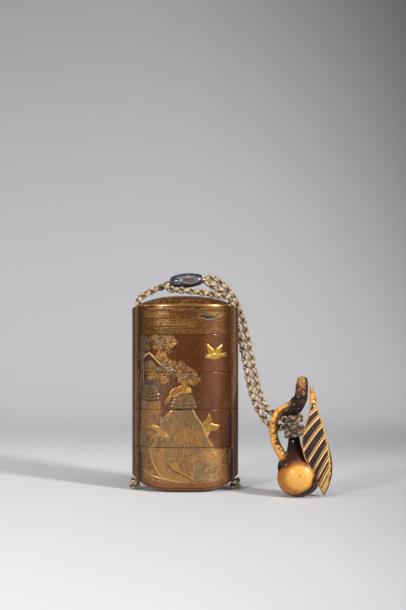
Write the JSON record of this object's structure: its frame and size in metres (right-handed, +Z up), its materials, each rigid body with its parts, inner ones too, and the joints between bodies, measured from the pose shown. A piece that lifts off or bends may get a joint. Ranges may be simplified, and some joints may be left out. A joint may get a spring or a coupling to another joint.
{
  "type": "inro case with bead and toggle",
  "caption": "Tiered lacquered inro case with a lift-off lid, nested trays, braided cord, stone bead and carved gourd toggle.",
  "frame": {"origin": "centre of the flat spot that the lowest tray stands on", "axes": "+Z up through the tiers, the decorated front faces -Y, the width runs along X with the toggle at +X"},
  "size_m": [0.0896, 0.0449, 0.0986],
  "materials": {
    "lacquer": "brown lacquer sprinkled with gold, raised gold and silver picture",
    "lacquer_lid": "gold brown lacquer with speckled bands",
    "bead": "polished dark blue grey stone with an oval eye",
    "antler": "stained and polished stag antler, amber to near black",
    "braid": "beige and brown braided silk cord"
  },
  "bodies": {
    "root": {"lid": "lacquer_lid", "case_1": "lacquer", "case_2": "lacquer", "case_3": "lacquer", "case_4": "lacquer", "ojime": "bead", "netsuke": "antler", "cord_free_left": "braid", "cord_free_right": "braid", "cord_held_left": "braid", "cord_held_right": "braid", "knot_bottom_left": "braid", "knot_bottom_right": "braid", "knot_end": "braid"}
  },
  "joints": []
}
